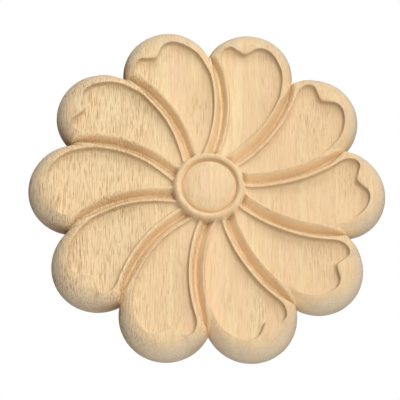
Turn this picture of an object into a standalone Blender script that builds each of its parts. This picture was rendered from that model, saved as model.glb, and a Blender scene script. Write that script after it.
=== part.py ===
"""A round carved rosette in pale wood: ten petals swirl round a turned boss.

Lengths are in metres. The carving is drawn flat first, with x to the right, y up
and h out of the flat back. It then stands upright, with its back in the plane
y = 0, its face towards -Y and its middle at the origin.
"""
import math

import bmesh
import bpy
import numpy as np

MM = 0.001

# Outline: round lobes that meet in sharp notches
PETALS = 10
FIRST_PETAL = math.radians(-90.0)
OUTER_RADIUS = 75.0 * MM
LOBE_RADIUS = 19.2 * MM
LOBE_CENTRE = OUTER_RADIUS - LOBE_RADIUS

# Grooves between the petals, each one arc from the boss to a notch
GROOVE_RADIUS = 57.5 * MM
GROOVE_START = math.radians(13.4)
GROOVE_HALF_FLOOR = 0.45 * MM
GROOVE_HEIGHT_IN = 5.3 * MM
GROOVE_HEIGHT_OUT = 6.6 * MM

# Where a groove's wall gives way to the rounded edge of the lobes
LOBE_BLEND = (51.0 * MM, 61.0 * MM)

# Rounded edge of a lobe, part of an ellipse from the back to the rim
EDGE_ROUND = 10.0 * MM
EDGE_ROUND_SHARE = 1.3

# Rim round the recess of a petal: its inner edge's distance from the two grooves,
# the width of its rolled top, and its height at the boss, halfway and round the lobe
RIM_FROM_LEFT = 2.85 * MM
RIM_FROM_RIGHT = 3.25 * MM
RIM_BAND = 1.10 * MM
RIM_ROLL = 0.08
RIM_HEIGHT_IN = 9.0 * MM
RIM_HEIGHT_MID = 11.2 * MM
RIM_HEIGHT_LOBE = 10.7 * MM
RIM_RISE_END = 36.0 * MM
RIM_FALL = (48.0 * MM, 64.0 * MM)

# Lopsided heart at the recess's outer end, from its left ear to its right shoulder
LEFT_SIDE_END = (-11.0 * MM, 51.6 * MM)
LEFT_EAR = [
    (-13.2 * MM, 57.0 * MM),
    (-12.9 * MM, 61.3 * MM),
    (-10.6 * MM, 63.2 * MM),
    (-7.0 * MM, 62.4 * MM),
]
HEART_NOTCH = (-3.95 * MM, 61.8 * MM)
RIGHT_EAR = [
    (-1.9 * MM, 63.7 * MM),
    (0.4 * MM, 66.2 * MM),
    (3.4 * MM, 67.0 * MM),
    (6.9 * MM, 66.0 * MM),
]
SHOULDER = [
    (9.7 * MM, 63.9 * MM),
    (12.8 * MM, 60.4 * MM),
    (14.6 * MM, 56.6 * MM),
    (15.5 * MM, 52.6 * MM),
]
RIGHT_SIDE_START = (15.75 * MM, 47.6 * MM)
EAR_SIDE = 0.30
SHOULDER_SIDE = 0.93

# Recess floor, lowest along a bent line down the middle of the petal
FLOOR_HEIGHT = 7.6 * MM
FLOOR_LINE = [(1.9 * MM, 15.0 * MM), (9.2 * MM, 38.0 * MM), (0.8 * MM, 61.0 * MM)]
FLOOR_LINE_AT_NOTCH = 0.80
LIP_REACH = 0.30 * MM
LIP_SHARE = 0.38
LIP_FOOT = 0.65 * MM
COVE_REACH = 1.7 * MM
COVE_SHARE = 0.38

# Boss: a low dome, a groove and a rounded ring, as radius and height from the middle
BOSS_FOOT_RADIUS = 15.2 * MM
BOSS_FILLET_HEIGHT = 1.0 * MM
BOSS_FILLET_REACH = 0.9 * MM
DOME_TOP = 12.4 * MM
DOME_PROFILE = [(5.0 * MM, 12.25 * MM), (8.3 * MM, 11.7 * MM), (10.5 * MM, 10.9 * MM)]
RING_PROFILE = [
    (11.1 * MM, 9.7 * MM),
    (12.3 * MM, 11.1 * MM),
    (13.2 * MM, 11.5 * MM),
    (14.2 * MM, 10.9 * MM),
]
BOSS_SIDES = 60

# Fineness of one petal: along a groove, round a lobe, up to the rim and down the recess
GROOVE_STEPS = 12
LOBE_STEPS = 18
EAR_STEPS = 6
OUTSIDE_ROWS = 5
RECESS_ROWS = 4
END_CROWDING = 0.55

WOOD_COLOUR = (0.72, 0.50, 0.26, 1.0)
WOOD_ROUGHNESS = 0.62


def turned(point, angle):
    """Turns a flat point about the middle, anticlockwise from the front."""
    x, y = point
    c, s = math.cos(angle), math.sin(angle)
    return np.array([x * c - y * s, x * s + y * c])


def arc_centre(start, end, radius):
    """Gives the centre of the arc through two points that lies left of the way between them."""
    start, end = np.array(start), np.array(end)
    half = (end - start) / 2.0
    reach = math.hypot(*half)
    left = np.array([-half[1], half[0]]) / reach
    return start + half + left * math.sqrt(radius ** 2 - reach ** 2)


def smooth_curve(points, pieces=16):
    """Runs a smooth curve through the points, with its speed eased by their spacing."""
    pts = [np.array(p) for p in points]
    pts = [2 * pts[0] - pts[1]] + pts + [2 * pts[-1] - pts[-2]]
    curve = []
    for p0, p1, p2, p3 in zip(pts, pts[1:], pts[2:], pts[3:]):
        knots = [0.0]
        for a, b in ((p0, p1), (p1, p2), (p2, p3)):
            knots.append(knots[-1] + math.sqrt(math.hypot(*(b - a))))
        t0, t1, t2, t3 = knots
        for step in range(pieces):
            t = t1 + (t2 - t1) * step / pieces
            a1 = (p0 * (t1 - t) + p1 * (t - t0)) / (t1 - t0)
            a2 = (p1 * (t2 - t) + p2 * (t - t1)) / (t2 - t1)
            a3 = (p2 * (t3 - t) + p3 * (t - t2)) / (t3 - t2)
            b1 = (a1 * (t2 - t) + a2 * (t - t0)) / (t2 - t0)
            b2 = (a2 * (t3 - t) + a3 * (t - t1)) / (t3 - t1)
            curve.append((b1 * (t2 - t) + b2 * (t - t1)) / (t2 - t1))
    curve.append(pts[-2])
    return np.array(curve)


def along(curve, shares):
    """Reads points off a curve at the given shares of its length."""
    steps = np.linalg.norm(np.diff(curve, axis=0), axis=1)
    run = np.concatenate([[0.0], np.cumsum(steps)])
    wanted = np.asarray(shares) * run[-1]
    return np.column_stack([np.interp(wanted, run, curve[:, 0]), np.interp(wanted, run, curve[:, 1])])


def arc_points(centre, start, end, pieces=48):
    """Samples the shorter arc about a centre from one point to another."""
    a = math.atan2(start[1] - centre[1], start[0] - centre[0])
    b = math.atan2(end[1] - centre[1], end[0] - centre[0])
    b = a + math.remainder(b - a, math.tau)
    radius = math.dist(centre, start)
    angles = np.linspace(a, b, pieces)
    return np.column_stack([centre[0] + radius * np.cos(angles), centre[1] + radius * np.sin(angles)])


def eased(value, low, high):
    """Rises smoothly from 0 at low to 1 at high."""
    t = min(max((value - low) / (high - low), 0.0), 1.0)
    return t * t * (3.0 - 2.0 * t)


def crowded(steps):
    """Gives shares from 0 to 1 that lie closer together towards both ends."""
    even = np.linspace(0.0, 1.0, steps + 1)
    waved = 0.5 * (1.0 - np.cos(math.pi * even))
    return (1.0 - END_CROWDING) * even + END_CROWDING * waved


def notch_point():
    """Gives the notch at the left of the petal, where two lobes meet."""
    half_turn = math.pi / PETALS
    offset = LOBE_CENTRE * math.sin(half_turn)
    radius = LOBE_CENTRE * math.cos(half_turn) + math.sqrt(LOBE_RADIUS ** 2 - offset ** 2)
    return turned((0.0, radius), half_turn)


def outer_line():
    """Traces a petal's border: up its left groove, round its lobe and down its right groove."""
    notch = notch_point()
    foot = turned((0.0, BOSS_FOOT_RADIUS), GROOVE_START)
    centre = arc_centre(foot, notch, GROOVE_RADIUS)
    left = along(arc_points(centre, foot, notch), crowded(GROOVE_STEPS))
    right = [turned(p, -math.tau / PETALS) for p in left[::-1]]
    lobe_middle = np.array([0.0, LOBE_CENTRE])
    first = math.atan2(notch[1] - LOBE_CENTRE, notch[0])
    lobe = []
    for angle in np.linspace(first, math.pi - first, LOBE_STEPS + 1)[1:-1]:
        lobe.append(lobe_middle + LOBE_RADIUS * np.array([math.cos(angle), math.sin(angle)]))
    return np.array(list(left) + lobe + right)


def rim_line():
    """Traces the rim of the recess from the boss, round the lopsided heart and back."""
    notch = notch_point()
    foot = turned((0.0, BOSS_FOOT_RADIUS), GROOVE_START)
    left_centre = arc_centre(foot, notch, GROOVE_RADIUS)
    right_centre = turned(left_centre, -math.tau / PETALS)
    left_foot = on_boss(left_centre, GROOVE_RADIUS + RIM_FROM_LEFT)
    right_foot = on_boss(right_centre, GROOVE_RADIUS - RIM_FROM_RIGHT)
    side_end = pulled(LEFT_SIDE_END, left_centre, GROOVE_RADIUS + RIM_FROM_LEFT)
    side_start = pulled(RIGHT_SIDE_START, right_centre, GROOVE_RADIUS - RIM_FROM_RIGHT)
    left_side = arc_points(left_centre, left_foot, side_end)
    right_side = arc_points(right_centre, side_start, right_foot)
    heart = smooth_curve([side_end] + LEFT_EAR + [HEART_NOTCH] + RIGHT_EAR + SHOULDER + [side_start])
    at_notch = int(np.argmin(np.linalg.norm(heart - np.array(HEART_NOTCH), axis=1)))
    ear_start = int(EAR_SIDE * at_notch)
    shoulder_end = at_notch + int(SHOULDER_SIDE * (len(heart) - 1 - at_notch))
    rising = np.vstack([left_side[:-1], heart[:ear_start + 1]])
    falling = np.vstack([heart[shoulder_end:], right_side[1:]])
    parts = [
        along(rising, crowded(GROOVE_STEPS)),
        along(heart[ear_start:at_notch + 1], np.linspace(0.0, 1.0, EAR_STEPS + 1)),
        along(heart[at_notch:shoulder_end + 1], np.linspace(0.0, 1.0, LOBE_STEPS - EAR_STEPS + 1)),
        along(falling, crowded(GROOVE_STEPS)),
    ]
    return np.vstack([parts[0]] + [part[1:] for part in parts[1:]])


def on_boss(centre, radius):
    """Finds where a circle round a groove's centre meets the foot of the boss, outside it."""
    distance = math.hypot(*centre)
    reach = (distance ** 2 + BOSS_FOOT_RADIUS ** 2 - radius ** 2) / (2.0 * distance)
    across = math.sqrt(BOSS_FOOT_RADIUS ** 2 - reach ** 2)
    way = centre / distance
    candidates = [way * reach + side * across * np.array([-way[1], way[0]]) for side in (-1.0, 1.0)]
    return max(candidates, key=lambda point: point[1])


def pulled(point, centre, radius):
    """Moves a point straight towards or away from a centre until it lies on a circle."""
    offset = np.array(point) - centre
    return centre + offset * radius / math.hypot(*offset)


def floor_line():
    """Runs the lowest line of the recess, one point for each pair of columns."""
    a, b, c = (np.array(p) for p in FLOOR_LINE)
    half = GROOVE_STEPS + LOBE_STEPS // 2
    points = []
    for column in range(half + 1):
        if column <= GROOVE_STEPS:
            t = FLOOR_LINE_AT_NOTCH * crowded(GROOVE_STEPS)[column]
        else:
            rest = (column - GROOVE_STEPS) / (half - GROOVE_STEPS)
            t = FLOOR_LINE_AT_NOTCH + (1.0 - FLOOR_LINE_AT_NOTCH) * rest
        points.append((1 - t) ** 2 * a + 2 * t * (1 - t) * b + t * t * c)
    return points


def groove_height(point):
    """Gives the height of a groove's floor: a gentle climb, then a fall to the back at the notch."""
    radius = math.hypot(*point)
    end = math.hypot(*notch_point())
    climb = (radius - BOSS_FOOT_RADIUS) / (end - BOSS_FOOT_RADIUS)
    height = GROOVE_HEIGHT_IN + (GROOVE_HEIGHT_OUT - GROOVE_HEIGHT_IN) * climb
    return min(height, RIM_HEIGHT_LOBE * edge_curve((end - radius) / EDGE_ROUND))


def edge_curve(share):
    """Gives the height of the rounded edge, for a share of the way in from the outline."""
    inside = min(max(share, 0.0), 1.0)
    return math.sqrt(1.0 - (1.0 - inside) ** 2)


def rim_height(point):
    """Gives the height of the rim: low at the boss, high halfway, a little lower round the lobe."""
    radius = math.hypot(*point)
    height = RIM_HEIGHT_IN + (RIM_HEIGHT_MID - RIM_HEIGHT_IN) * eased(radius, BOSS_FOOT_RADIUS, RIM_RISE_END)
    return height + (RIM_HEIGHT_LOBE - RIM_HEIGHT_MID) * eased(radius, *RIM_FALL)


def lobe_share(border):
    """Says how far a stretch of the border belongs to the lobe and not to a groove, from 0 to 1."""
    return eased(math.hypot(*border), *LOBE_BLEND)


def wall_curve(across, width):
    """Gives the height of a groove's side: a flat floor, a straight wall and the rolled top of the rim."""
    distance = across * width
    top = width - RIM_BAND
    if distance <= GROOVE_HALF_FLOOR:
        return 0.0
    if distance < top:
        return (1.0 - RIM_ROLL) * (distance - GROOVE_HALF_FLOOR) / (top - GROOVE_HALF_FLOOR)
    return 1.0 - RIM_ROLL * (1.0 - (distance - top) / RIM_BAND) ** 2


def wall_stop(step, width):
    """Gives the share of the way from groove to rim at which a row of corners lies."""
    floor, top = GROOVE_HALF_FLOOR / width, 1.0 - RIM_BAND / width
    wall_rows = OUTSIDE_ROWS - 3
    if step == 0:
        return 0.0
    if step <= wall_rows + 1:
        return floor + (top - floor) * (step - 1) / wall_rows
    return top + (1.0 - top) * (step - wall_rows - 1) / (OUTSIDE_ROWS - wall_rows - 1)


def outside_row(border, rim, low, high, share, step):
    """Places one point between the border of a petal and its rim, on a groove's wall or a rounded edge."""
    width = math.dist(border, rim)
    flat_stop = wall_stop(step, width)
    round_stop = 1.0 - math.cos(0.5 * math.pi * step / OUTSIDE_ROWS)
    across = flat_stop + (round_stop - flat_stop) * share
    wall = wall_curve(across, width)
    edge = min(EDGE_ROUND, EDGE_ROUND_SHARE * width)
    rounded = edge_curve(across * width / edge) / edge_curve(width / edge)
    flat = border + (rim - border) * across
    return (*flat, low + (high - low) * (wall + (rounded - wall) * share))


def recess_row(rim, floor, high, low, step):
    """Places one point of the recess: down the steep lip, round the cove and across the shallow bowl."""
    width = math.dist(rim, floor)
    foot = min(LIP_FOOT / width, 0.25)
    share = 0.0 if step == 0 else foot + (1.0 - foot) * ((step - 1) / (RECESS_ROWS - 1)) ** 1.5
    lip = 1.0 - math.exp(-share * width / LIP_REACH)
    cove = settled(share, COVE_REACH / width)
    bowl = 1.0 - (1.0 - share) ** 2
    drop = LIP_SHARE * lip + COVE_SHARE * cove + (1.0 - LIP_SHARE - COVE_SHARE) * bowl
    flat = rim + (floor - rim) * share
    return (*flat, high + (low - high) * drop)


def settled(share, reach):
    """Falls off like a decay of the given reach, but comes level, at 1, at the end of the way."""
    end = math.exp(-1.0 / reach)
    bend = end / (2.0 * reach)
    return (1.0 - math.exp(-share / reach) - bend * share * share) / (1.0 - end - bend)


def petal_columns():
    """Works out one petal as columns of points, each from the border over the rim to the lowest line."""
    border = outer_line()
    rim = rim_line()
    lowest = floor_line()
    last = len(border) - 1
    columns = []
    for number, (edge, crest) in enumerate(zip(border, rim)):
        on_lobe = GROOVE_STEPS <= number <= last - GROOVE_STEPS
        low = 0.0 if on_lobe else groove_height(edge)
        high = rim_height(crest)
        middle = lowest[min(number, last - number)]
        fillet = BOSS_FILLET_HEIGHT * math.exp((BOSS_FOOT_RADIUS - math.hypot(*middle)) / BOSS_FILLET_REACH)
        share = 1.0 if on_lobe else lobe_share(edge)
        column = [outside_row(edge, crest, low, high, share, step) for step in range(OUTSIDE_ROWS)]
        floor = FLOOR_HEIGHT + min(fillet, BOSS_FILLET_HEIGHT)
        column += [recess_row(crest, middle, high, floor, step) for step in range(RECESS_ROWS + 1)]
        columns.append(column)
    return columns


def upright(x, y, height):
    """Stands a flat point up: height out of the back becomes depth towards -Y."""
    return (x, -height, y)


def corner_key(petal, number, step, last):
    """Names a corner of the surface, so that those on a shared line have one name.

    The right groove of a petal is the left groove of the next, and the two sides of a
    recess meet along its lowest line.
    """
    if step == 0 and number >= last - GROOVE_STEPS:
        return ((petal + 1) % PETALS, last - number, step)
    if step == OUTSIDE_ROWS + RECESS_ROWS and number > last // 2:
        return (petal, last - number, step)
    return (petal, number, step)


def add_petals(bm):
    """Adds the turned copies of the petal's surface.

    Returns the corners round the boss, in clockwise order from the front.
    """
    columns = petal_columns()
    last = len(columns) - 1
    steps = OUTSIDE_ROWS + RECESS_ROWS
    corners = {}
    for petal in range(PETALS):
        angle = FIRST_PETAL - math.tau * petal / PETALS
        for number, column in enumerate(columns):
            for step, (x, y, height) in enumerate(column):
                key = corner_key(petal, number, step, last)
                if key == (petal, number, step):
                    corners[key] = bm.verts.new(upright(*turned((x, y), angle), height))
    ring = []
    for petal in range(PETALS):
        for number in range(last):
            for step in range(steps):
                around = [(number, step), (number + 1, step), (number + 1, step + 1), (number, step + 1)]
                keys = [corner_key(petal, n, s, last) for n, s in around]
                bm.faces.new([corners[key] for key in keys])
        ring += [corners[(petal, 0, step)] for step in range(steps + 1)]
        ring += [corners[(petal, last, step)] for step in range(steps - 1, 0, -1)]
    return ring


def add_turned_rings(bm, profile):
    """Adds rings of corners for a turned profile, in clockwise order from the front."""
    rings = []
    for radius, height in profile:
        corners = []
        for side in range(BOSS_SIDES):
            angle = FIRST_PETAL + GROOVE_START - math.tau * side / BOSS_SIDES
            x, y = turned((0.0, radius), angle)
            corners.append(bm.verts.new(upright(x, y, height)))
        rings.append(corners)
    return rings


def add_boss(bm, foot):
    """Adds the turned boss: its wall down to the petals, its ring, its groove and its dome."""
    rings = add_turned_rings(bm, DOME_PROFILE + RING_PROFILE)
    for inner, outer in zip(rings, rings[1:]):
        for side in range(BOSS_SIDES):
            after = (side + 1) % BOSS_SIDES
            bm.faces.new([inner[side], inner[after], outer[after], outer[side]])
    top = bm.verts.new(upright(0.0, 0.0, DOME_TOP))
    for side in range(BOSS_SIDES):
        bm.faces.new([top, rings[0][(side + 1) % BOSS_SIDES], rings[0][side]])
    join_rings(bm, foot, rings[-1])


def join_rings(bm, outer, inner):
    """Joins two rings of different fineness with a band of triangles."""
    outer_turn = turns_of(outer)
    inner_turn = turns_of(inner)
    i = j = 0
    while i < len(outer) or j < len(inner):
        a, b = outer[i % len(outer)], inner[j % len(inner)]
        if j == len(inner) or (i < len(outer) and outer_turn[i + 1] <= inner_turn[j + 1]):
            i += 1
            bm.faces.new([a, outer[i % len(outer)], b])
        else:
            j += 1
            bm.faces.new([a, inner[j % len(inner)], b])


def turns_of(ring):
    """Gives how far round from its first corner each corner of a ring lies, and a full turn last."""
    start = math.atan2(ring[0].co.z, ring[0].co.x)
    turns = [(start - math.atan2(v.co.z, v.co.x)) % math.tau for v in ring[1:]]
    return [0.0] + turns + [math.tau]


def build_rosette():
    """Builds the rosette as one closed solid and gives it its wood."""
    bm = bmesh.new()
    add_boss(bm, add_petals(bm))
    open_edges = [edge for edge in bm.edges if edge.is_boundary]
    bmesh.ops.edgenet_fill(bm, edges=open_edges)
    bmesh.ops.recalc_face_normals(bm, faces=bm.faces)

    mesh = bpy.data.meshes.new("rosette")
    bm.to_mesh(mesh)
    bm.free()
    mesh.shade_smooth()
    mesh.set_sharp_from_angle(angle=math.radians(32.0))
    mesh.materials.append(wood())
    rosette = bpy.data.objects.new("rosette", mesh)
    bpy.context.scene.collection.objects.link(rosette)


def wood():
    """Makes the pale unfinished wood."""
    material = bpy.data.materials.new("pale_wood")
    material.use_nodes = True
    shader = material.node_tree.nodes["Principled BSDF"]
    shader.inputs["Base Color"].default_value = WOOD_COLOUR
    shader.inputs["Roughness"].default_value = WOOD_ROUGHNESS
    shader.inputs["Metallic"].default_value = 0.0
    return material


def main():
    """Clears the scene and builds the rosette."""
    for old in list(bpy.data.objects):
        bpy.data.objects.remove(old, do_unlink=True)
    build_rosette()


main()
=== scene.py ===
"""A carved rosette in pale wood, dressed over its solid: ten swirled petals round a turned boss.

Lengths are in metres. A petal is drawn flat first, pointing up, with x to the right,
y up and h out of the flat back. It then stands upright, with its back in the plane
y = 0 and its face towards -Y, as the solid does.
"""
from __future__ import annotations

import logging
import math
from dataclasses import dataclass, field
from enum import Enum

import bmesh
import bpy
import numpy as np
from bpy.types import ID, Material, Mesh, Node, NodeSocket as Socket, NodeTree, Object
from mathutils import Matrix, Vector
from numpy.linalg import norm


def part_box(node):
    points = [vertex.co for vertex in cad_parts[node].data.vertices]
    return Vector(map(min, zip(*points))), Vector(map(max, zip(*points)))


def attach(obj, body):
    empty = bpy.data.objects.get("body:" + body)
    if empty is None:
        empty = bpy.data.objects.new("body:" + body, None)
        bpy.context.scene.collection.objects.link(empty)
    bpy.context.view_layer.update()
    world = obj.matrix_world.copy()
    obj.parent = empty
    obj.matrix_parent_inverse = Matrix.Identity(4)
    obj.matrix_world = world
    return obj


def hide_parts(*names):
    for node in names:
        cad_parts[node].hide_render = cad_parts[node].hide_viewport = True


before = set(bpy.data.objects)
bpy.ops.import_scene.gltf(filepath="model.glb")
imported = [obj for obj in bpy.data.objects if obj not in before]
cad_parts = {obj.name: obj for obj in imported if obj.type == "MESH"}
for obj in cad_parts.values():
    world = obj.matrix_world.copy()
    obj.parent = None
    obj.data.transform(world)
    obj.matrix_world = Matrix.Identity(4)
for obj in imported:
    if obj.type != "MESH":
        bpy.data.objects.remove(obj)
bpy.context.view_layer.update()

log = logging.getLogger("rosette")

# One millimetre of a rosette 150 mm across, taken from the solid
MM = (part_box("rosette")[1].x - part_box("rosette")[0].x) / 150.0

# The attribute that carries painted shade into the wood's colour, under lips, at the boss and below lobes
PAINTED_SHADE = "painted_shade"

# The beads that stand for a rim, how fast their pull fades, and the pull of a straight rim
SOFT_BEADS = 600
SOFT_FADE = 5.0
STRAIGHT_RIM_PULL = 4.0 / 3.0

# The points along an arc, how much steps crowd at both ends, and the least share raised to a power
ARC_POINTS = 240
CROWDING = 0.55
LEAST_SHARE = 1e-6

Colour = tuple[float, float, float]
Triple = tuple[float, float, float]
Span = tuple[float, float]
Profile = tuple[Span, ...]
Array = np.ndarray


class Stretch(Enum):
    """A stretch of a petal's border."""

    LEFT_GROOVE = "left groove"
    LOBE = "lobe"
    RIGHT_GROOVE = "right groove"


def turned(points: Array, angle: float) -> Array:
    """Turns flat points, one or rows of them, about the middle, anticlockwise from the front."""
    cosine, sine = math.cos(angle), math.sin(angle)
    return np.asarray(points) @ np.array([[cosine, sine], [-sine, cosine]])


def eased(value: Array, low: float, high: float) -> Array:
    """Gives the share of a smooth rise, 0 up to low and 1 from high, that each value reaches."""
    t = np.clip((np.asarray(value) - low) / (high - low), 0.0, 1.0)
    return t * t * (3.0 - 2.0 * t)


def crowded(steps: int) -> Array:
    """Gives shares from 0 to 1 that lie closer together towards both ends.

    Args:
        steps: the number of steps between the shares.

    Returns:
        The shares, one more than the steps.
    """
    even = np.linspace(0.0, 1.0, steps + 1)
    waved = 0.5 * (1.0 - np.cos(math.pi * even))
    return (1.0 - CROWDING) * even + CROWDING * waved


def along(curve: Array, shares: Array) -> Array:
    """Reads points off a curve.

    Args:
        curve: close points on the curve.
        shares: shares of the curve's length.

    Returns:
        The points at those shares.
    """
    steps = norm(np.diff(curve, axis=0), axis=1)
    run = np.concatenate([[0.0], np.cumsum(steps)])
    wanted = np.asarray(shares) * run[-1]
    return np.column_stack([np.interp(wanted, run, curve[:, 0]), np.interp(wanted, run, curve[:, 1])])


def arc_centre(start: Array, end: Array, radius: float) -> Array:
    """Finds the centre of an arc that lies left of the way from its start to its end.

    Args:
        start: the arc's first point.
        end: the arc's last point.
        radius: the arc's radius.

    Returns:
        The centre.
    """
    half = (end - start) / 2.0
    reach = math.hypot(*half)
    left = np.array([-half[1], half[0]]) / reach
    return start + half + left * math.sqrt(radius ** 2 - reach ** 2)


def arc_points(centre: Array, start: Array, end: Array) -> Array:
    """Samples the shorter arc about a centre.

    Args:
        centre: the arc's centre.
        start: the arc's first point.
        end: a point in the direction in which the arc ends.

    Returns:
        Points along the arc.
    """
    first = math.atan2(start[1] - centre[1], start[0] - centre[0])
    last = math.atan2(end[1] - centre[1], end[0] - centre[0])
    last = first + math.remainder(last - first, math.tau)
    radius = math.dist(centre, start)
    angles = np.linspace(first, last, ARC_POINTS)
    return np.column_stack([centre[0] + radius * np.cos(angles), centre[1] + radius * np.sin(angles)])


def blended(a: Array, b: Array, start: float, end: float, t: Array) -> Array:
    """Runs straight from a at the start to b at the end, and reads that at t."""
    return (a * (end - t) + b * (t - start)) / (end - start)


def smooth_curve(points: Array, pieces: int = 60) -> Array:
    """Runs a smooth curve through points, with its speed eased by their spacing.

    Args:
        points: the points to pass through.
        pieces: the number of samples between two of them.

    Returns:
        Close points along the curve.
    """
    knots = [np.array(point) for point in points]
    knots = [2 * knots[0] - knots[1]] + knots + [2 * knots[-1] - knots[-2]]
    curve = []
    for p0, p1, p2, p3 in zip(knots, knots[1:], knots[2:], knots[3:]):
        gaps = [math.sqrt(math.dist(a, b)) for a, b in ((p0, p1), (p1, p2), (p2, p3))]
        t0, t1, t2, t3 = np.concatenate([[0.0], np.cumsum(gaps)])
        t = np.linspace(t1, t2, pieces, endpoint=False)[:, None]
        middle = blended(p1, p2, t1, t2, t)
        before = blended(blended(p0, p1, t0, t1, t), middle, t0, t2, t)
        after = blended(middle, blended(p2, p3, t2, t3, t), t1, t3, t)
        curve.append(blended(before, after, t1, t2, t))
    curve.append(knots[-2][None, :])
    return np.vstack(curve)


def upright(flat: Array, height: Array) -> Array:
    """Stands flat points up: their height out of the back becomes depth towards -Y."""
    return np.stack([flat[..., 0], -height, flat[..., 1]], axis=-1)


def placed(name: str, data: ID) -> Object:
    """Puts a new object into the scene.

    Args:
        name: the object's name.
        data: its mesh, its light or its camera.

    Returns:
        The object.
    """
    thing = bpy.data.objects.new(name, data)
    bpy.context.scene.collection.objects.link(thing)
    return thing


class NodeGraph:
    """Adds nodes to a tree and joins them as they are made."""

    def __init__(self, tree: NodeTree) -> None:
        """Starts on an empty tree."""
        self.tree = tree
        tree.nodes.clear()

    def add(self, kind: str, sockets: dict | None = None, **settings: object) -> Node:
        """Adds one node.

        Args:
            kind: Blender's name for the node's type.
            sockets: input values by name or number; an output socket there is linked.
            settings: the node's own properties.

        Returns:
            The new node.
        """
        node = self.tree.nodes.new(kind)
        for name, value in settings.items():
            setattr(node, name, value)
        for name, value in (sockets or {}).items():
            if isinstance(value, Socket):
                self.tree.links.new(value, node.inputs[name])
            else:
                node.inputs[name].default_value = value
        return node

    def maths(self, operation: str, *values: object) -> Socket:
        """Works out one number by the sum of that name, from numbers or output sockets."""
        return self.add("ShaderNodeMath", dict(enumerate(values)), operation=operation).outputs[0]

    def vectors(self, operation: str, *values: object) -> Socket:
        """Works out one vector, or a number where the sum of that name gives one."""
        node = self.add("ShaderNodeVectorMath", dict(enumerate(values)), operation=operation)
        return node.outputs["Value" if operation in ("LENGTH", "DOT_PRODUCT") else "Vector"]

    def part(self, vector: Socket, axis: str) -> Socket:
        """Takes the X, Y or Z out of a vector."""
        return self.add("ShaderNodeSeparateXYZ", {0: vector}).outputs[axis]

    def spread(self, value: Socket, low: float, high: float) -> Socket:
        """Brings a value to a smooth rise from 0 at low to 1 at high."""
        sockets = {"Value": value, "From Min": low, "From Max": high}
        return self.add("ShaderNodeMapRange", sockets, interpolation_type="SMOOTHSTEP").outputs["Result"]


@dataclass(frozen=True)
class Grain:
    """A cloudy pattern: its size along X, Y and Z, its finer detail, and how far it is moved."""

    size: Triple
    detail: float = 2.0
    shift: float = 0.0


@dataclass(frozen=True)
class Tint:
    """A colour that is laid over others, and how much of it there is at most."""

    colour: Colour
    strength: float = 1.0


class ShaderGraph(NodeGraph):
    """Adds the patterns that the finishes are made of."""

    def place(self) -> Socket:
        """Gives the place on the piece, in metres."""
        return self.add("ShaderNodeTexCoord").outputs["Object"]

    def grain(self, place: Socket, grain: Grain) -> Socket:
        """Makes a cloudy pattern.

        Args:
            place: the place's socket.
            grain: the pattern's size and detail.

        Returns:
            The pattern's socket, from 0 to 1.
        """
        scale = tuple(1.0 / s for s in grain.size)
        sockets = {"Vector": place, "Scale": scale, "Location": (grain.shift,) * 3}
        mapped = self.add("ShaderNodeMapping", sockets)
        sockets = {"Vector": mapped.outputs[0], "Scale": 1.0, "Detail": grain.detail}
        return self.add("ShaderNodeTexNoise", sockets).outputs["Fac"]

    def tint(self, share: object, first: object, second: object) -> Socket:
        """Mixes two colours.

        Args:
            share: how much of the second, a number or a socket.
            first: a colour or a socket.
            second: a colour or a socket.

        Returns:
            The mixed colour's socket.
        """
        node = self.add("ShaderNodeMix", {0: share}, data_type="RGBA")
        for slot, value in ((6, first), (7, second)):
            if isinstance(value, Socket):
                self.tree.links.new(value, node.inputs[slot])
            else:
                node.inputs[slot].default_value = (*value, 1.0)
        return node.outputs[2]


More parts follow.
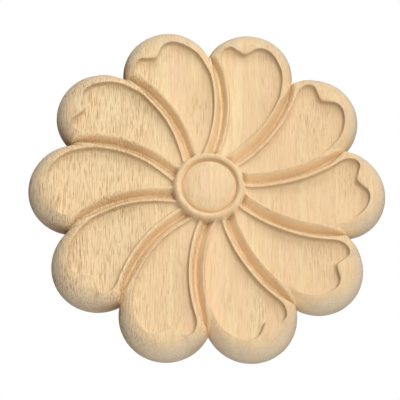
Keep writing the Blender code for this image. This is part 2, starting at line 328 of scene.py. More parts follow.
@dataclass(frozen=True)
class PaleWood:
    """Raw pale wood with upright grain: soft bands, fibres, and open pores on its coarse side, with painted
    shade under lips and lobes and painted bounce light on steep inner walls.

    An open spot, where the pores are thick too, is its x, z, half width and half height in mm.
    """

    honey: Colour = (0.665, 0.480, 0.275)
    pink: Colour = (0.695, 0.495, 0.302)
    straw: Colour = (0.705, 0.545, 0.320)
    brown: Colour = (0.28, 0.13, 0.045)
    coarse_tint: Tint = Tint(straw, 0.60)
    rose_tint: Tint = Tint((0.610, 0.425, 0.245), 0.34)
    fibre_tint: Tint = Tint(brown, 0.22)
    pore_tint: Tint = Tint(brown, 0.70)
    # Painted bounce light: a lighter, warmer colour on the steep inner walls
    painted_wall_bounce: Tint = Tint((0.82, 0.61, 0.37), 0.75)
    cut_edge: Tint = Tint((0.675, 0.56, 0.41), 0.75)
    # Painted shade: a dark colour under lips, at the boss and below the lobes
    painted_shade_tint: Tint = Tint((0.28, 0.165, 0.08))
    band: Grain = Grain((4.5 * MM, 6.0 * MM, 80.0 * MM), 1.6)
    fibre: Grain = Grain((0.45 * MM, 0.45 * MM, 11.0 * MM), 3.0, 7.0)
    dash: Grain = Grain((0.17 * MM, 1.20 * MM, 4.2 * MM), 0.5, 5.0)
    speck: Grain = Grain((0.36 * MM, 0.36 * MM, 0.45 * MM), 1.0, 2.0)
    patch: Grain = Grain((14.0 * MM, 14.0 * MM, 40.0 * MM), 2.0, 11.0)
    sway: Grain = Grain((45.0 * MM, 45.0 * MM, 60.0 * MM), 1.0, 3.0)
    sway_reach: float = 1.4 * MM
    honey_bands: Span = (0.36, 0.52)
    straw_bands: Span = (0.50, 0.66)
    fibre_spread: Span = (0.45, 0.75)
    dash_spread: Span = (0.63, 0.68)
    speck_spread: Span = (0.55, 0.68)
    patch_spread: Span = (0.46, 0.66)
    coarse_side: Span = (-14.0 * MM, -34.0 * MM)
    rose_side: Span = (6.0 * MM, 30.0 * MM)
    rim_zone: Span = (60.0 * MM, 67.0 * MM)
    edge_facing: Span = (0.97, 0.60)
    wall_facing: Span = (0.90, 0.45)
    # Painted shade is strongest on faces that look this way, left and down
    shade_way: Triple = (-0.70, 0.0, -0.71)
    shade_facing: Span = (-0.35, 0.45)
    shade_shares: Span = (0.03, 0.50)
    coarse_pores: float = 0.74
    patch_pores: float = 0.38
    spot_pores: float = 0.60
    speck_pores: float = 0.55
    spot_fade: Span = (1.0, 0.2)
    dash_gain: float = 0.07
    dash_least: float = 0.2
    open_spots: tuple[tuple[float, float, float, float], ...] = (
        (-4.0, 33.0, 6.0, 18.0),
        (44.0, 32.0, 14.0, 22.0),
        (58.0, 3.0, 12.0, 14.0),
        (46.0, -30.0, 13.0, 15.0),
        (-28.0, -46.0, 5.0, 15.0),
        (20.0, -52.0, 9.0, 11.0),
        (-22.0, -9.0, 9.0, 15.0),
    )
    roughness: float = 0.62
    fibre_gloss: float = 0.16
    pore_depth: float = 0.8
    bump: float = 0.35
    bump_height: float = 0.12 * MM
    ior: float = 1.45
    specular: float = 0.35

    def material(self) -> Material:
        """Makes the wood's material.

        Returns:
            The material.
        """
        material = bpy.data.materials.new("pale_wood")
        material.use_nodes = True
        graph = ShaderGraph(material.node_tree)
        place = self.leaning(graph)
        colour, pores, fibres = self.colours(graph, place)
        gloss = graph.maths("MULTIPLY_ADD", fibres, self.fibre_gloss, self.roughness - self.fibre_gloss / 2)
        relief = graph.maths("MULTIPLY_ADD", pores, -self.pore_depth, fibres)
        sockets = {"Height": relief, "Strength": self.bump, "Distance": self.bump_height}
        bump = graph.add("ShaderNodeBump", sockets)
        sockets = {"Base Color": colour, "Roughness": gloss, "Normal": bump.outputs[0], "IOR": self.ior}
        shader = graph.add("ShaderNodeBsdfPrincipled", {**sockets, "Specular IOR Level": self.specular})
        graph.add("ShaderNodeOutputMaterial", {"Surface": shader.outputs[0]})
        return material

    def leaning(self, graph: ShaderGraph) -> Socket:
        """Bends the grain a little out of the upright.

        Args:
            graph: the material's graph.

        Returns:
            The bent place's socket.
        """
        place = graph.place()
        sway = graph.maths("SUBTRACT", graph.grain(place, self.sway), 0.5)
        shift = graph.add("ShaderNodeCombineXYZ", {"X": graph.maths("MULTIPLY", sway, self.sway_reach)})
        return graph.vectors("ADD", place, shift.outputs[0])

    def colours(self, graph: ShaderGraph, place: Socket) -> tuple[Socket, Socket, Socket]:
        """Lays the wood's colours over each other.

        Args:
            graph: the material's graph.
            place: the place's socket, along the leaning grain.

        Returns:
            The sockets of the colour, the pores and the fibres.
        """
        band = graph.grain(place, self.band)
        colour = graph.tint(graph.spread(band, *self.honey_bands), self.pink, self.honey)
        colour = graph.tint(graph.spread(band, *self.straw_bands), colour, self.straw)
        across = graph.part(place, "X")
        coarse = graph.spread(across, *self.coarse_side)
        fibres = graph.grain(place, self.fibre)
        wall, edge = self.cuts(graph)
        pores = self.pores(graph, place, coarse, edge)
        layers = (
            (self.coarse_tint, coarse),
            (self.rose_tint, graph.spread(across, *self.rose_side)),
            (self.fibre_tint, graph.spread(fibres, *self.fibre_spread)),
            # painted bounce light on the steep inner walls
            (self.painted_wall_bounce, wall),
            (self.cut_edge, edge),
            # painted shade, most where the wood looks left or down
            (self.painted_shade_tint, self.painted_shade_share(graph)),
            (self.pore_tint, pores),
        )
        for tint, share in layers:
            colour = graph.tint(graph.maths("MULTIPLY", share, tint.strength), colour, tint.colour)
        return colour, pores, fibres

    def painted_shade_share(self, graph: ShaderGraph) -> Socket:
        """Finds the share of painted shade on lines and undersides: most where the wood looks left or down,
        away from the lamps.

        Args:
            graph: the material's graph.

        Returns:
            The share's socket.
        """
        normal = graph.add("ShaderNodeNewGeometry").outputs["Normal"]
        away = graph.spread(graph.vectors("DOT_PRODUCT", normal, self.shade_way), *self.shade_facing)
        low, high = self.shade_shares
        line = graph.add("ShaderNodeAttribute", attribute_name=PAINTED_SHADE).outputs["Fac"]
        return graph.maths("MULTIPLY", line, graph.maths("MULTIPLY_ADD", away, high - low, low))

    def cuts(self, graph: ShaderGraph) -> tuple[Socket, Socket]:
        """Finds where the wood turns away from the face: the steep inner walls, which get painted bounce
        light, and the outer edge.

        Args:
            graph: the material's graph.

        Returns:
            The sockets of the share of an inner wall and of the outer edge, each 0 to 1.
        """
        normal = graph.add("ShaderNodeNewGeometry").outputs["Normal"]
        facing = graph.maths("ABSOLUTE", graph.part(normal, "Y"))
        place = graph.place()
        squares = [graph.maths("POWER", graph.part(place, axis), 2.0) for axis in "XZ"]
        outer = graph.spread(graph.maths("SQRT", graph.maths("ADD", *squares)), *self.rim_zone)
        inner = graph.maths("SUBTRACT", 1.0, outer)
        edge = graph.maths("MULTIPLY", graph.spread(facing, *self.edge_facing), outer)
        return graph.maths("MULTIPLY", graph.spread(facing, *self.wall_facing), inner), edge

    def pores(self, graph: ShaderGraph, place: Socket, coarse: Socket, edge: Socket) -> Socket:
        """Scatters the open pores: dashes, thick on the coarse side and open spots, and specks.

        Args:
            graph: the material's graph.
            place: the place's socket, along the leaning grain.
            coarse: the socket of how far a place lies on the coarse side.
            edge: the share's socket of the outer edge.

        Returns:
            The pores' socket, from 0 to 1.
        """
        patches = graph.spread(graph.grain(place, self.patch), *self.patch_spread)
        patches = graph.maths("MULTIPLY", patches, self.patch_pores)
        amount = graph.maths("MULTIPLY_ADD", coarse, self.coarse_pores, patches)
        for x, z, wide, high in self.open_spots:
            away = graph.vectors("SUBTRACT", place, (x * MM, 0.0, z * MM))
            away = graph.vectors("MULTIPLY", away, (1.0 / (wide * MM), 0.0, 1.0 / (high * MM)))
            spot = graph.spread(graph.vectors("LENGTH", away), *self.spot_fade)
            amount = graph.maths("MAXIMUM", amount, graph.maths("MULTIPLY", spot, self.spot_pores))
        streaks = graph.maths("MULTIPLY_ADD", amount, self.dash_gain, graph.grain(place, self.dash))
        depth = graph.maths("MULTIPLY_ADD", amount, 1.0 - self.dash_least, self.dash_least)
        dashes = graph.maths("MULTIPLY", graph.spread(streaks, *self.dash_spread), depth)
        specks = graph.spread(graph.grain(place, self.speck), *self.speck_spread)
        specks = graph.maths("MULTIPLY", specks, graph.maths("MULTIPLY", edge, self.speck_pores))
        return graph.maths("MAXIMUM", dashes, specks)


@dataclass(frozen=True)
class FloorPaint:
    """The matt pale paint of the studio floor, which looks as bright as the walls around it."""

    colour: Colour = (0.80, 0.80, 0.79)
    mottle: Colour = (0.77, 0.77, 0.765)
    cloud: Grain = Grain((0.2, 0.2, 0.2), 3.0)
    roughness: float = 0.85
    glow: float = 0.85

    def material(self) -> Material:
        """Makes the floor's material.

        Returns:
            The material.
        """
        material = bpy.data.materials.new("floor_paint")
        material.use_nodes = True
        graph = ShaderGraph(material.node_tree)
        colour = graph.tint(graph.grain(graph.place(), self.cloud), self.colour, self.mottle)
        shader = graph.add("ShaderNodeBsdfPrincipled", {"Base Color": colour, "Roughness": self.roughness})
        seen = graph.add("ShaderNodeLightPath").outputs["Is Camera Ray"]
        sockets = {"Color": colour, "Strength": graph.maths("MULTIPLY", seen, self.glow)}
        glow = graph.add("ShaderNodeEmission", sockets)
        surface = graph.add("ShaderNodeAddShader", {0: shader.outputs[0], 1: glow.outputs[0]})
        graph.add("ShaderNodeOutputMaterial", {"Surface": surface.outputs[0]})
        return material


@dataclass
class Petal:
    """One petal, pointing up: its groove walls, its rim and the heart-ended recess inside it.

    The places of its heart, its sides' ends and its floor line are in mm.
    """

    count: int = 10
    outer_radius: float = 75.0 * MM
    lobe_radius: float = 19.2 * MM
    foot_radius: float = 15.2 * MM
    groove_radius: float = 57.5 * MM
    groove_start: float = math.radians(13.4)
    groove_half_floor: float = 0.50 * MM
    groove_heights: Span = (5.3 * MM, 6.6 * MM)
    lobe_blend: Span = (52.0 * MM, 64.0 * MM)
    edge_round: float = 10.0 * MM
    edge_round_share: float = 1.3
    rim_from_left: float = 2.85 * MM
    rim_from_right: float = 3.25 * MM
    wall_runs: Span = (1.35 * MM, 2.05 * MM)
    crown_drop: float = 0.08
    arris_hardness: float = 9.0
    rim_heights: Triple = (9.0 * MM, 11.2 * MM, 10.7 * MM)
    rim_rise_end: float = 36.0 * MM
    rim_fall: Span = (48.0 * MM, 64.0 * MM)
    left_side_end: Span = (-11.0, 51.6)
    left_ear: Profile = ((-13.2, 57.0), (-12.9, 61.3), (-10.6, 63.2), (-7.0, 62.4))
    heart_notch: Span = (-3.95, 61.8)
    right_ear: Profile = ((-1.9, 63.7), (0.4, 66.2), (3.4, 67.0), (6.9, 66.0))
    shoulder: Profile = ((9.7, 63.9), (12.8, 60.4), (14.6, 56.6), (15.5, 52.6))
    right_side_start: Span = (15.75, 47.6)
    ear_side: float = 0.30
    shoulder_side: float = 0.93
    floor_height: float = 7.5 * MM
    floor_line: Profile = ((1.9, 15.0), (9.0, 34.0), (1.6, 54.0))
    floor_line_at_notch: float = 0.80
    lip_reach: float = 0.40 * MM
    lip_share: float = 0.80
    lip_bend: float = 1.5
    cove_reach: float = 1.4 * MM
    cove_share: float = 0.10
    bowl_reach: float = 5.5 * MM
    level_from: float = 0.2
    soft_from: Span = (0.7 * MM, 2.0 * MM)
    # Painted shade: just inside the lip, at the foot of the boss, and low on the lobe's underside beside
    # the notch
    shade_reach: Span = (0.12 * MM, 0.8 * MM)
    boss_line: float = 1.4 * MM
    under_shade: float = 0.35
    under_height: float = 5.2 * MM
    notch_shade: float = 1.7
    notch_reach: float = 10.0 * MM
    notch_heights: Span = (3.5 * MM, 9.8 * MM)
    fillet_height: float = 0.6 * MM
    fillet_reach: float = 0.7 * MM
    groove_steps: int = 54
    lobe_steps: int = 84
    ear_steps: int = 28
    floor_rows: int = 2
    side_rows: int = 13
    recess_rows: int = 22
    row_crowding: float = 2.2
    turn: float = field(init=False)

    def __post_init__(self) -> None:
        """Works out the turn from one petal to the next."""
        self.turn = math.tau / self.count

    def notch(self) -> Array:
        """Finds the notch at the left of the petal, where two lobes meet.

        Returns:
            Its flat point.
        """
        middle = self.outer_radius - self.lobe_radius
        offset = middle * math.sin(self.turn / 2)
        radius = middle * math.cos(self.turn / 2) + math.sqrt(self.lobe_radius ** 2 - offset ** 2)
        return turned(np.array([0.0, radius]), self.turn / 2)

    def groove_foot(self) -> Array:
        """Gives the point where the petal's left groove leaves the boss."""
        return turned(np.array([0.0, self.foot_radius]), self.groove_start)

    def groove_centre(self) -> Array:
        """Gives the centre of the left groove's arc."""
        return arc_centre(self.groove_foot(), self.notch(), self.groove_radius)

    def border(self) -> Array:
        """Traces the border: up the left groove, round the lobe and down the right groove.

        Returns:
            Its flat points, one for each column.
        """
        notch = self.notch()
        groove = arc_points(self.groove_centre(), self.groove_foot(), notch)
        left = along(groove, crowded(self.groove_steps))
        right = turned(left[::-1], -self.turn)
        middle = np.array([0.0, self.outer_radius - self.lobe_radius])
        first = math.atan2(notch[1] - middle[1], notch[0])
        angles = np.linspace(first, math.pi - first, self.lobe_steps + 1)[1:-1]
        lobe = middle + self.lobe_radius * np.column_stack([np.cos(angles), np.sin(angles)])
        return np.vstack([left, lobe, right])

    def rim(self) -> Array:
        """Traces the rim of the recess from the boss, round the lopsided heart and back.

        Returns:
            Its flat points, one for each column.
        """
        left_centre = self.groove_centre()
        right_centre = turned(left_centre, -self.turn)
        left_radius = self.groove_radius + self.rim_from_left
        right_radius = self.groove_radius - self.rim_from_right
        side_end = self.pulled(self.left_side_end, left_centre, left_radius)
        side_start = self.pulled(self.right_side_start, right_centre, right_radius)
        left_side = arc_points(left_centre, self.on_boss(left_centre, left_radius), side_end)
        right_side = arc_points(right_centre, side_start, self.on_boss(right_centre, right_radius))
        heart_points = (*self.left_ear, self.heart_notch, *self.right_ear, *self.shoulder)
        heart = smooth_curve([side_end, *(np.array(p) * MM for p in heart_points), side_start])
        at_notch = int(np.argmin(norm(heart - np.array(self.heart_notch) * MM, axis=1)))
        ear_start = int(self.ear_side * at_notch)
        shoulder_end = at_notch + int(self.shoulder_side * (len(heart) - 1 - at_notch))
        rising = np.vstack([left_side[:-1], heart[:ear_start + 1]])
        falling = np.vstack([heart[shoulder_end:], right_side[1:]])
        shoulder_steps = self.lobe_steps - self.ear_steps
        parts = [
            along(rising, crowded(self.groove_steps)),
            along(heart[ear_start:at_notch + 1], np.linspace(0.0, 1.0, self.ear_steps + 1)),
            along(heart[at_notch:shoulder_end + 1], np.linspace(0.0, 1.0, shoulder_steps + 1)),
            along(falling, crowded(self.groove_steps)),
        ]
        return np.vstack([parts[0]] + [part[1:] for part in parts[1:]])

    def on_boss(self, centre: Array, radius: float) -> Array:
        """Finds where a circle round a groove's centre meets the foot of the boss.

        Args:
            centre: the circle's centre.
            radius: the circle's radius.

        Returns:
            The upper of the two points where they meet.
        """
        distance = math.hypot(*centre)
        reach = (distance ** 2 + self.foot_radius ** 2 - radius ** 2) / (2.0 * distance)
        across = math.sqrt(self.foot_radius ** 2 - reach ** 2)
        way = centre / distance
        side = np.array([-way[1], way[0]]) * across
        return max((way * reach - side, way * reach + side), key=lambda point: point[1])

    def pulled(self, point: Span, centre: Array, radius: float) -> Array:
        """Moves a point, given in mm, straight to or from a centre until it lies on a circle."""
        offset = np.array(point) * MM - centre
        return centre + offset * radius / math.hypot(*offset)

    def lowest(self) -> Array:
        """Runs the lowest line of the recess, out towards the heart and back.

        Returns:
            Its flat points, one for each column.
        """
        half = self.lobe_steps // 2
        rising = self.floor_line_at_notch * crowded(self.groove_steps)
        rest = np.arange(1, half + 1) / half
        t = np.concatenate([rising, self.floor_line_at_notch + (1.0 - self.floor_line_at_notch) * rest])
        t = np.concatenate([t, t[-2::-1]])[:, None]
        a, b, c = (np.array(p) * MM for p in self.floor_line)
        return (1 - t) ** 2 * a + 2 * t * (1 - t) * b + t * t * c

    def stretches(self) -> list[Stretch]:
        """Names the stretch of the border that each column starts from.

        Returns:
            A stretch for each column.
        """
        grooves = self.groove_steps
        lobe = [Stretch.LOBE] * (self.lobe_steps + 1)
        return [Stretch.LEFT_GROOVE] * grooves + lobe + [Stretch.RIGHT_GROOVE] * grooves

    def rounded(self, share: Array) -> Array:
        """Gives the height of the rounded edge, for a share of the way in from the outline."""
        return np.sqrt(1.0 - (1.0 - np.clip(share, 0.0, 1.0)) ** 2)

    def groove_floor(self, border: Array) -> Array:
        """Works out the border's height: a gentle climb, then a fall to the back at the notch.

        Args:
            border: the border's points.

        Returns:
            The height at each of them, 0 round the lobe.
        """
        radius = norm(border, axis=1)
        end = math.hypot(*self.notch())
        climb = (radius - self.foot_radius) / (end - self.foot_radius)
        low, high = self.groove_heights
        fall = self.rim_heights[2] * self.rounded((end - radius) / self.edge_round)
        height = np.minimum(low + (high - low) * climb, fall)
        height[[stretch is Stretch.LOBE for stretch in self.stretches()]] = 0.0
        return height

    def rim_height(self, rim: Array) -> Array:
        """Works out the rim's height: low at the boss, high halfway, a little lower at the lobe.

        Args:
            rim: the rim's points.

        Returns:
            The height at each of them.
        """
        radius = norm(rim, axis=1)
        at_boss, halfway, lobe = self.rim_heights
        height = at_boss + (halfway - at_boss) * eased(radius, self.foot_radius, self.rim_rise_end)
        return height + (lobe - halfway) * eased(radius, *self.rim_fall)

    def from_groove(self, rim: Array) -> Array:
        """Measures how far the rim lies from the groove on its side, square to the groove.

        Args:
            rim: the rim's points.

        Returns:
            The distance of each of them, from the left groove up to the middle of the lobe.
        """
        centre = self.groove_centre()
        left = norm(rim - centre, axis=1) - self.groove_radius
        right = self.groove_radius - norm(rim - turned(centre, -self.turn), axis=1)
        return np.where(np.arange(len(rim)) < len(rim) // 2, left, right)

    def carved(self, away: Array, side: Array) -> Array:
        """Shapes a groove's side: a straight wall under a soft crown.

        Args:
            away: how far from the wall's foot, a row for each column of the petal.
            side: how far the rim is from the wall's foot.

        Returns:
            The share of the side's height.
        """
        left, right = self.wall_runs
        turn = eased(np.arange(len(side)), self.groove_steps, self.groove_steps + self.lobe_steps)[:, None]
        run = left + (right - left) * turn
        wall = np.maximum(away / run, LEAST_SHARE)
        crown = 1.0 - self.crown_drop * (1.0 - away / side) ** 2
        bend = -self.arris_hardness
        return ((wall ** bend + crown ** bend) / ((side / run) ** bend + 1.0)) ** (1.0 / bend)

    def outside(self, border: Array, rim: Array) -> tuple[Array, Array]:
        """Shapes the rows from the border to the rim, up a groove's side or a lobe's round edge.

        Args:
            border: the border's points.
            rim: the rim's points.

        Returns:
            The rows' flat points and their heights, the rim itself left out.
        """
        lobe = eased(norm(border, axis=1), *self.lobe_blend)[:, None]
        width = norm(rim - border, axis=1)[:, None]
        width = width + (self.from_groove(rim)[:, None] - width) * (1.0 - lobe)
        foot = self.groove_half_floor * (1.0 - lobe)
        floor = foot * np.arange(self.floor_rows)[None, :] / self.floor_rows
        even = np.arange(self.side_rows)[None, :] / self.side_rows
        step = even + (1.0 - np.cos(0.5 * math.pi * even) - even) * lobe
        away = np.concatenate([floor, foot + (width - foot) * step], axis=1)
        carved = self.carved(away - foot, width - foot)
        edge = np.minimum(self.edge_round, self.edge_round_share * width)
        risen = carved + (self.rounded(away / edge) / self.rounded(width / edge) - carved) * lobe
        low, high = self.groove_floor(border)[:, None], self.rim_height(rim)[:, None]
        flat = border[:, None, :] + (rim - border)[:, None, :] * (away / width)[..., None]
        return flat, low + (high - low) * risen

    def from_rim(self, points: Array, rim: Array) -> tuple[Array, Array]:
        """Measures how far points of the recess lie from the rim.

        Args:
            points: the flat points.
            rim: the rim's points.

        Returns:
            The distance to the nearest place on the rim, and a distance that is the same
            close to the rim but has no crease where two sides are equally near.
        """
        start, way = rim[:-1], np.diff(rim, axis=0)
        offset = points[..., None, :] - start
        share = np.clip((offset * way).sum(-1) / (way ** 2).sum(-1), 0.0, 1.0)
        near = norm(offset - share[..., None] * way, axis=-1).min(-1)
        length = norm(way, axis=1).sum()
        beads = along(rim, (np.arange(SOFT_BEADS) + 0.5) / SOFT_BEADS)
        gaps = norm(points[..., None, :] - beads, axis=-1)
        pull = (np.maximum(gaps, length / SOFT_BEADS) ** -SOFT_FADE).sum(-1) * length / SOFT_BEADS
        soft = (pull / STRAIGHT_RIM_PULL) ** (-1.0 / (SOFT_FADE - 1.0))
        return near, near + (soft - near) * eased(near, *self.soft_from)

    def recess(self, rim: Array, lowest: Array) -> tuple[Array, Array, Array]:
        """Shapes the recess: down the steep lip, round the cove and across the shallow bowl.

        Args:
            rim: the rim's points.
            lowest: the points of the lowest line.

        Returns:
            The rows' flat points, their heights and their shares of painted shade, from the
            rim to the lowest line.
        """
        share = (np.arange(self.recess_rows + 1) / self.recess_rows)[None, :] ** self.row_crowding
        flat = rim[:, None, :] + (lowest - rim)[:, None, :] * share[..., None]
        near, soft = self.from_rim(flat, rim)
        lip = 1.0 - np.exp(-(near / self.lip_reach) ** self.lip_bend)
        cove = 1.0 - np.exp(-soft / self.cove_reach)
        bowl = 1.0 - np.exp(-soft / self.bowl_reach)
        bowl_share = 1.0 - self.lip_share - self.cove_share
        drop = self.lip_share * lip + self.cove_share * cove + bowl_share * bowl
        from_boss = norm(flat, axis=-1) - self.foot_radius
        fillet = self.fillet_height * np.minimum(np.exp(-from_boss / self.fillet_reach), 1.0)
        high = self.rim_height(rim)[:, None]
        high = high + (high[::-1] - high) * 0.5 * eased(share, self.level_from, 1.0)
        # painted shade just inside the rim, down the lip
        start, end = self.shade_reach
        shade = (1.0 - np.exp(-(near / start) ** 2)) * np.exp(-(near / end) ** 2)
        shade = np.maximum(shade, self.at_boss(flat))
        return flat, high + (self.floor_height + fillet - high) * drop, shade

    def at_boss(self, flat: Array) -> Array:
        """Gives the share of painted shade at the foot of the boss, for flat points."""
        return np.exp(-((norm(flat, axis=-1) - self.foot_radius) / self.boss_line) ** 2)

    def below_lobe(self, flat: Array, height: Array) -> Array:
        """Finds the painted shade on the lobe's underside: most low down beside the notch on its left.

        Args:
            flat: the flat points outside the rim.
            height: their heights.

        Returns:
            The share at each point.
        """
        under = self.under_shade * (1.0 - eased(height, 0.0, self.under_height))
        beside = np.exp(-(norm(flat - self.notch(), axis=-1) / self.notch_reach) ** 2)
        return np.maximum(under, self.notch_shade * beside * (1.0 - eased(height, *self.notch_heights)))

    def mesh(self) -> Mesh:
        """Makes the petal's open surface, standing upright.

        Returns:
            The mesh, with its shares of painted shade.
        """
        border, rim, lowest = self.border(), self.rim(), self.lowest()
        outer_flat, outer_height = self.outside(border, rim)
        inner_flat, inner_height, shade = self.recess(rim, lowest)
        flat = np.concatenate([outer_flat, inner_flat], axis=1)
        height = np.concatenate([outer_height, inner_height], axis=1)
        columns, rows = height.shape
        number = np.arange(columns * rows).reshape(columns, rows)
        corners = [number[:-1, :-1], number[1:, :-1], number[1:, 1:], number[:-1, 1:]]
        faces = np.stack([corner.ravel() for corner in corners], axis=1)
        mesh = bpy.data.meshes.new("petal")
        mesh.from_pydata(upright(flat, height).reshape(-1, 3).tolist(), [], faces.tolist())
        # painted shade at the boss's foot and on the lobe's underside
        outer_shade = np.maximum(self.at_boss(outer_flat), self.below_lobe(outer_flat, outer_height))
        shade = np.concatenate([outer_shade, shade], axis=1)
        line = mesh.attributes.new(PAINTED_SHADE, "FLOAT", "POINT")
        line.data.foreach_set("value", shade.ravel().astype(np.float32))
        return mesh


@dataclass
class PetalRing:
    """The petals, set round the middle by a node tree that also gives them the carver's hand."""

    petal: Petal = field(default_factory=Petal)
    first_turn: float = math.radians(90.0)
    weld: float = 0.002 * MM
    hand_depth: float = 0.22 * MM
    hand_size: float = 11.0 * MM
    hand_detail: float = 1.0
    hand_heights: Span = (1.0 * MM, 6.0 * MM)
    seed: int = 14

    def inputs(self, wood: Material) -> dict[str, tuple[str, object]]:
        """Lists what the node tree is given besides the petal.

        Args:
            wood: the material.

        Returns:
            The kind and the value of each input, by name.
        """
        return {
            "Count": ("Int", self.petal.count),
            "First Turn": ("Float", self.first_turn),
            "Weld": ("Float", self.weld),
            "Hand Depth": ("Float", self.hand_depth),
            "Hand Size": ("Float", self.hand_size),
            "Seed": ("Int", self.seed),
            "Wood": ("Material", wood),
        }

    def tree(self, inputs: dict[str, tuple[str, object]]) -> tuple[NodeTree, dict[str, str]]:
        """Builds the node tree.

        Args:
            inputs: the kind and the value of each input besides the petal, by name.

        Returns:
            The tree, and the identifier of each of its named inputs.
        """
        tree = bpy.data.node_groups.new("petal_ring", "GeometryNodeTree")
        names = {}
        for name, (kind, _) in {"Petal": ("Geometry", None), **inputs}.items():
            socket = tree.interface.new_socket(name, in_out="INPUT", socket_type=f"NodeSocket{kind}")
            names[name] = socket.identifier
        tree.interface.new_socket("Ring", in_out="OUTPUT", socket_type="NodeSocketGeometry")
        graph = NodeGraph(tree)
        given = graph.add("NodeGroupInput").outputs
        points = graph.add("GeometryNodePoints", {"Count": given["Count"]})
        step = graph.maths("DIVIDE", math.tau, given["Count"])
        index = graph.add("GeometryNodeInputIndex").outputs[0]
        angle = graph.maths("MULTIPLY_ADD", index, step, given["First Turn"])
        turn = graph.add("ShaderNodeCombineXYZ", {"Y": angle})
        sockets = {"Points": points.outputs[0], "Instance": given["Petal"], "Rotation": turn.outputs[0]}
        ring = graph.add("GeometryNodeInstanceOnPoints", sockets)
        steps = (
            ("GeometryNodeRealizeInstances", {}),
            ("GeometryNodeMergeByDistance", {"Distance": given["Weld"]}),
            ("GeometryNodeSetPosition", {"Offset": self.hand(graph, given)}),
            ("GeometryNodeRealizeInstances", {}),
            ("GeometryNodeSetMaterial", {"Material": given["Wood"]}),
        )
        for kind, sockets in steps:
            ring = graph.add(kind, {"Geometry": ring.outputs[0], **sockets})
        graph.add("NodeGroupOutput", {0: ring.outputs[0]})
        return tree, names

    def hand(self, graph: NodeGraph, given: bpy.types.bpy_prop_collection) -> Socket:
        """Works out how far the carver's hand strays, nothing at the back and the outline.

        Args:
            graph: the tree's graph.
            given: the tree's inputs.

        Returns:
            The offset's socket.
        """
        place = graph.add("GeometryNodeInputPosition").outputs[0]
        inside = graph.spread(graph.maths("ABSOLUTE", graph.part(place, "Y")), *self.hand_heights)
        scale = graph.maths("DIVIDE", 1.0, given["Hand Size"])
        sockets = {"Vector": place, "W": given["Seed"], "Scale": scale, "Detail": self.hand_detail}
        noise = graph.add("ShaderNodeTexNoise", sockets, noise_dimensions="4D")
        centred = graph.vectors("SUBTRACT", noise.outputs["Color"], (0.5, 0.5, 0.5))
        reach = graph.maths("MULTIPLY", graph.maths("MULTIPLY", given["Hand Depth"], 2.0), inside)
        return graph.vectors("MULTIPLY", centred, reach)

    def mesh(self, wood: Material) -> Mesh:
        """Makes the ring of petals.

        Args:
            wood: the material.

        Returns:
            One plain mesh, open at the boss and at the back.
        """
        holder = placed("petal_ring", self.petal.mesh())
        modifier = holder.modifiers.new("petal_ring", "NODES")
        inputs = self.inputs(wood)
        modifier.node_group, names = self.tree(inputs)
        for name, (_, value) in inputs.items():
            modifier[names[name]] = value
        evaluated = holder.evaluated_get(bpy.context.evaluated_depsgraph_get())
        mesh = bpy.data.meshes.new_from_object(evaluated)
        holder.modifiers.remove(modifier)
        bpy.data.objects.remove(holder, do_unlink=True)
        return mesh


@dataclass
class Boss:
    """The turned boss: a low dome, a groove and a rounded ring.

    The dome and the ring are radius and height in mm.
    """

    sides: int = 240
    pieces: int = 6
    dome: Profile = ((0.0, 12.4), (2.5, 12.37), (5.0, 12.25), (8.3, 11.7), (10.5, 10.9))
    ring: Profile = ((11.2, 9.3), (11.6, 10.1), (12.2, 11.1), (12.9, 11.5), (13.5, 11.55), (14.2, 10.9))
    # Painted shade in the groove inside the ring and at the ring's foot
    groove_line: Span = (11.8 * MM, 0.5 * MM)
    foot_line: float = 0.5

    def profile(self) -> Array:
        """Traces the turned outline, from the dome to the foot of the ring.

        Returns:
            Its points as radius and height, the middle of the dome left out.
        """
        dome = smooth_curve(np.array(self.dome) * MM, self.pieces)
        ring = smooth_curve(np.array(self.ring) * MM, self.pieces)
        return np.vstack([dome[1:], ring])

    def add_to(self, bm: bmesh.types.BMesh) -> list[bmesh.types.BMVert]:
        """Turns the boss, with painted shade in its groove and at its foot.

        Args:
            bm: the mesh that it is added to.

        Returns:
            The corners of its outermost ring, clockwise from the front.
        """
        angles = -math.tau * np.arange(self.sides) / self.sides
        rings = []
        line = bm.verts.layers.float[PAINTED_SHADE]
        middle, reach = self.groove_line
        for radius, height in self.profile():
            flat = radius * np.column_stack([np.cos(angles), np.sin(angles)])
            rings.append([bm.verts.new(p) for p in upright(flat, np.full(self.sides, height))])
            for corner in rings[-1]:
                corner[line] = math.exp(-((radius - middle) / reach) ** 2)
        for corner in rings[-1]:
            corner[line] = self.foot_line
        for inner, outer in zip(rings, rings[1:]):
            for side in range(self.sides):
                after = (side + 1) % self.sides
                bm.faces.new([inner[side], inner[after], outer[after], outer[side]])
        top = bm.verts.new((0.0, -self.dome[0][1] * MM, 0.0))
        for side in range(self.sides):
            bm.faces.new([top, rings[0][(side + 1) % self.sides], rings[0][side]])
        return rings[-1]


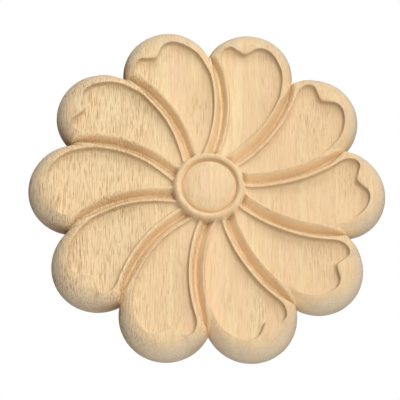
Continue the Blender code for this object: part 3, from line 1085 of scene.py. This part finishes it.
@dataclass
class Rosette:
    """The whole carving, one closed piece: petals, boss and flat back."""

    ring: PetalRing = field(default_factory=PetalRing)
    boss: Boss = field(default_factory=Boss)
    finish: PaleWood = field(default_factory=PaleWood)
    sharp: float = math.radians(60.0)
    hub_margin: float = 2.0 * MM

    def build(self) -> Object:
        """Makes the carving and sets it on the frame.

        Returns:
            The finished piece.
        """
        wood = self.finish.material()
        bm = bmesh.new()
        bm.from_mesh(self.ring.mesh(wood))
        hub = self.hub(bm)
        self.join(bm, hub, self.boss.add_to(bm))
        bmesh.ops.edgenet_fill(bm, edges=[edge for edge in bm.edges if edge.is_boundary])
        bmesh.ops.recalc_face_normals(bm, faces=bm.faces)
        mesh = bpy.data.meshes.new("carved_rosette")
        bm.to_mesh(mesh)
        bm.free()
        mesh.shade_smooth()
        mesh.set_sharp_from_angle(angle=self.sharp)
        mesh.materials.clear()
        mesh.materials.append(wood)
        piece = placed("carved_rosette", mesh)
        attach(piece, "root")
        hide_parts("rosette")
        return piece

    def hub(self, bm: bmesh.types.BMesh) -> list[bmesh.types.BMVert]:
        """Walks the open ring where the petals end at the boss.

        Args:
            bm: the mesh of the petals.

        Returns:
            Its corners, clockwise from the front.
        """
        limit = self.ring.petal.foot_radius + self.hub_margin
        open_edges = (e for e in bm.edges if e.is_boundary)
        edge = next(e for e in open_edges if all(math.hypot(v.co.x, v.co.z) < limit for v in e.verts))
        ring = list(edge.verts)
        while ring[-1] is not ring[0]:
            onward = next(e for e in ring[-1].link_edges if e.is_boundary and ring[-2] not in e.verts)
            ring.append(onward.other_vert(ring[-1]))
        ring.pop()
        return ring if self.turns(ring)[-2] > 0.0 else ring[::-1]

    def join(self, bm: bmesh.types.BMesh, outer: list, inner: list) -> None:
        """Joins two rings of different fineness with a band of triangles.

        Args:
            bm: the mesh that the rings are in.
            outer: the outer ring's corners, clockwise from the front.
            inner: the inner ring's corners, clockwise from the front.
        """
        start = min(range(len(inner)), key=lambda n: (inner[n].co - outer[0].co).length)
        inner = inner[start:] + inner[:start]
        outer_turn, inner_turn = self.turns(outer), self.turns(inner)
        i = j = 0
        while i < len(outer) or j < len(inner):
            a, b = outer[i % len(outer)], inner[j % len(inner)]
            if j == len(inner) or (i < len(outer) and outer_turn[i + 1] <= inner_turn[j + 1]):
                i += 1
                bm.faces.new([a, outer[i % len(outer)], b])
            else:
                j += 1
                bm.faces.new([a, inner[j % len(inner)], b])

    def turns(self, ring: list) -> list[float]:
        """Adds up how far round from its first corner each corner of a ring lies.

        Args:
            ring: the ring's corners.

        Returns:
            The turn at each corner, clockwise from the front, and a full turn last.
        """
        angles = [math.atan2(v.co.z, v.co.x) for v in ring]
        steps = [math.remainder(a - b, math.tau) for a, b in zip(angles, angles[1:])]
        return [0.0, *np.cumsum(steps).tolist(), math.tau]


@dataclass(frozen=True)
class Lamp:
    """A soft square lamp that shines at the carving."""

    name: str
    place: Triple
    size: float
    power: float
    colour: Colour = (1.0, 1.0, 1.0)

    def hang(self) -> Object:
        """Hangs the lamp in the scene.

        Returns:
            The lamp.
        """
        data = bpy.data.lights.new(self.name, "AREA")
        data.size = self.size
        data.energy = self.power
        data.color = self.colour
        lamp = placed(self.name, data)
        lamp.visible_camera = False
        lamp.location = self.place
        lamp.rotation_euler = (-lamp.location).to_track_quat("-Z", "Y").to_euler()
        return lamp


@dataclass
class Studio:
    """The plain studio: a pale floor, soft lamps on four sides, and the camera."""

    floor_height: float = -0.50
    floor_size: float = 8.0
    paint: FloorPaint = field(default_factory=FloorPaint)
    background: float = 1.0
    fill: float = 0.165
    fill_way: Triple = (0.38, -0.50, 0.78)
    fill_lean: float = 0.95
    lamps: tuple[Lamp, ...] = (
        Lamp("front", (0.21, -1.27, 0.0), 0.45, 8.9, (1.0, 0.98, 0.92)),
        Lamp("top", (-0.02, -0.80, 1.03), 0.70, 7.6, (0.97, 1.0, 1.07)),
        Lamp("right", (0.95, -0.85, 0.45), 0.60, 3.6),
        Lamp("back", (0.0, 1.30, 0.0), 0.30, 10.0),
    )
    aim: Triple = (-3.28 * MM, 0.0, -2.69 * MM)
    distance: float = 0.5778
    azimuth: float = math.radians(-3.23)
    elevation: float = math.radians(-18.84)
    lens: float = 124.0

    def floor(self) -> Object:
        """Lays the floor.

        Returns:
            The floor.
        """
        half = self.floor_size / 2
        sides = ((-half, -half), (half, -half), (half, half), (-half, half))
        corners = [(x, y, self.floor_height) for x, y in sides]
        mesh = bpy.data.meshes.new("studio_floor")
        mesh.from_pydata(corners, [], [(0, 1, 2, 3)])
        mesh.materials.append(self.paint.material())
        floor = placed("studio_floor", mesh)
        return floor

    def light(self) -> list[Object]:
        """Fills the room with white, most of it from above on the right, and hangs the lamps.

        Returns:
            The lamps.
        """
        world = bpy.data.worlds.new("studio")
        world.use_nodes = True
        graph = ShaderGraph(world.node_tree)
        seen = graph.add("ShaderNodeLightPath").outputs["Is Camera Ray"]
        way = graph.add("ShaderNodeTexCoord").outputs["Generated"]
        lean = graph.vectors("DOT_PRODUCT", way, self.fill_way)
        fill = graph.maths("MULTIPLY_ADD", lean, self.fill * self.fill_lean, self.fill)
        strength = graph.maths("MULTIPLY_ADD", seen, graph.maths("SUBTRACT", self.background, fill), fill)
        white = graph.add("ShaderNodeBackground", {"Strength": strength, "Color": (1.0, 1.0, 1.0, 1.0)})
        graph.add("ShaderNodeOutputWorld", {"Surface": white.outputs[0]})
        bpy.context.scene.world = world
        bpy.context.scene.view_settings.view_transform = "Standard"
        return [lamp.hang() for lamp in self.lamps]

    def camera(self) -> Object:
        """Sets the camera a little below and left of the carving, looking up at it.

        Returns:
            The camera.
        """
        data = bpy.data.cameras.new("camera")
        data.lens = self.lens
        camera = placed("camera", data)
        level = math.cos(self.elevation)
        across, towards = math.sin(self.azimuth) * level, math.cos(self.azimuth) * level
        back = Vector((across, -towards, math.sin(self.elevation)))
        camera.location = Vector(self.aim) + back * self.distance
        camera.rotation_euler = (math.pi / 2 - self.elevation, 0.0, self.azimuth)
        bpy.context.scene.camera = camera
        return camera


def main() -> None:
    """Builds the carving and the studio, and reports each piece."""
    logging.basicConfig(level=logging.INFO, format="%(name)s: %(message)s")
    studio = Studio()
    for thing in (Rosette().build(), studio.floor()):
        thing.data.calc_loop_triangles()
        log.info("%s has %d triangles", thing.name, len(thing.data.loop_triangles))
    for thing in (*studio.light(), studio.camera()):
        log.info("%s stands at %s", thing.name, [round(v, 3) for v in thing.location])


if __name__ == "__main__":
    main()
